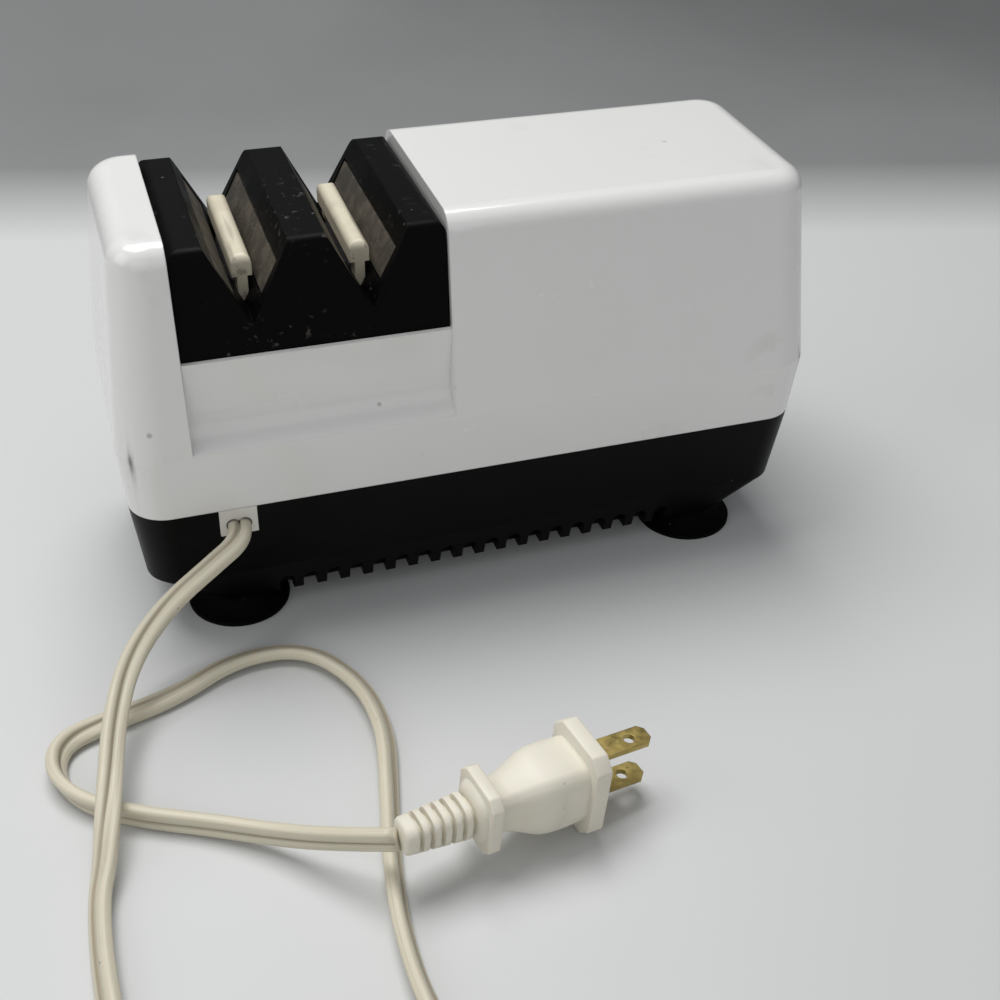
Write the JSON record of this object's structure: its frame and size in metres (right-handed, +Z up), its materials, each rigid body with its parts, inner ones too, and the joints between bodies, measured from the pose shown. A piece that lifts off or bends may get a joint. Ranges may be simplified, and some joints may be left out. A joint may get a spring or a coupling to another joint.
{
  "type": "electric knife sharpener",
  "caption": "Mains bench knife sharpener: white cover on a black tray, V slots over orbiting abrasive wedges, suction feet, rocker switch and flat lead with plug.",
  "frame": {"origin": "centre of the housing's footprint, on the plane that the feet stand on", "axes": "+X along the length, from the slot end to the motor end; -Y is the long side where the lead leaves; +Y is the side with the switch; +Z up"},
  "size_m": [0.2411, 0.315, 0.12],
  "materials": {
    "abrasive": "diamond grit on steel",
    "bright_steel": "turned steel",
    "black_tray": "satin black moulding",
    "bush_bronze": "oiled sintered bronze",
    "fan_plastic": "natural plastic",
    "cord_vinyl": "cream vinyl",
    "gland_white": "white plastic",
    "gear_nylon": "natural nylon",
    "foot_rubber": "matt black rubber",
    "sheet_steel": "zinc plated sheet",
    "ivory_bar": "scratched ivory plastic",
    "black_insert": "satin black moulding",
    "magnet": "sintered magnet",
    "guide_steel": "dull steel with metal dust",
    "winding": "taped copper winding",
    "lamination": "stacked laminations",
    "carriage_nylon": "glass filled nylon",
    "blade_brass": "bright brass",
    "plug_vinyl": "off-white vinyl",
    "switch_black": "glossy black",
    "white_cover": "glossy warm off-white moulding",
    "wedge_metal": "die cast"
  },
  "bodies": {
    "housing": {"base_screws": "bright_steel", "base_tray": "black_tray", "cord_coil": "cord_vinyl", "cord_gland": "gland_white", "cord_outgoing": "cord_vinyl", "cord_returning": "cord_vinyl", "crank_bushes": "bush_bronze", "foot_back_left": "foot_rubber", "foot_back_right": "foot_rubber", "foot_front_left": "foot_rubber", "foot_front_right": "foot_rubber", "frame_plate_left": "sheet_steel", "frame_plate_right": "sheet_steel", "frame_spacers": "bright_steel", "guard_bar_left": "ivory_bar", "guard_bar_right": "ivory_bar", "guide_insert": "black_insert", "guide_magnet_1": "magnet", "guide_magnet_2": "magnet", "guide_magnet_3": "magnet", "guide_magnet_4": "magnet", "guide_plate_1": "guide_steel", "guide_plate_2": "guide_steel", "guide_plate_3": "guide_steel", "guide_plate_4": "guide_steel", "motor_bolts": "bright_steel", "motor_bracket_left": "sheet_steel", "motor_bracket_right": "sheet_steel", "motor_bushes": "bush_bronze", "motor_coil": "winding", "motor_screws": "bright_steel", "motor_stator": "lamination", "plug_blades": "blade_brass", "plug_body": "plug_vinyl", "switch_body": "switch_black", "top_cover": "white_cover"},
    "rotor": {"rotor_core": "lamination", "motor_shaft": "bright_steel", "cooling_fan": "fan_plastic", "motor_pinion": "gear_nylon"},
    "crank_front": {"crankshaft_front": "bright_steel", "crank_gear_front": "gear_nylon"},
    "crank_rear": {"crankshaft_rear": "bright_steel", "crank_gear_rear": "gear_nylon"},
    "carriage": {"orbit_carriage": "carriage_nylon", "carriage_bushes": "bush_bronze", "wedge_left": "wedge_metal", "wedge_right": "wedge_metal", "abrasive_pads_left": "abrasive", "abrasive_pads_right": "abrasive"},
    "rocker": {"switch_rocker": "switch_black"}
  },
  "joints": [
    {"name": "rotor_spin", "type": "hinge", "parent": "housing", "child": "rotor", "pos_m": [0.034, 0, 0.07], "axis": [1, 0, 0], "continuous": true},
    {"name": "crank_front_spin", "type": "hinge", "parent": "housing", "child": "crank_front", "pos_m": [-0.047, -0.018, 0.07], "axis": [1, 0, 0], "continuous": true},
    {"name": "crank_rear_spin", "type": "hinge", "parent": "housing", "child": "crank_rear", "pos_m": [-0.047, 0.018, 0.07], "axis": [1, 0, 0], "continuous": true},
    {"name": "carriage_orbit", "type": "hinge", "parent": "crank_front", "child": "carriage", "pos_m": [-0.047, -0.018, 0.069], "axis": [1, 0, 0], "continuous": true},
    {"name": "rocker_tilt", "type": "hinge", "parent": "housing", "child": "rocker", "pos_m": [0.05, 0.03563, 0.07953], "axis": [1, 0, 0], "range_deg": [-18, 0]}
  ],
  "couplings": [
    {"joint": "crank_front_spin", "follows": "rotor_spin", "ratio": -0.33333},
    {"joint": "crank_rear_spin", "follows": "rotor_spin", "ratio": -0.33333},
    {"joint": "carriage_orbit", "follows": "rotor_spin", "ratio": 0.33333}
  ]
}
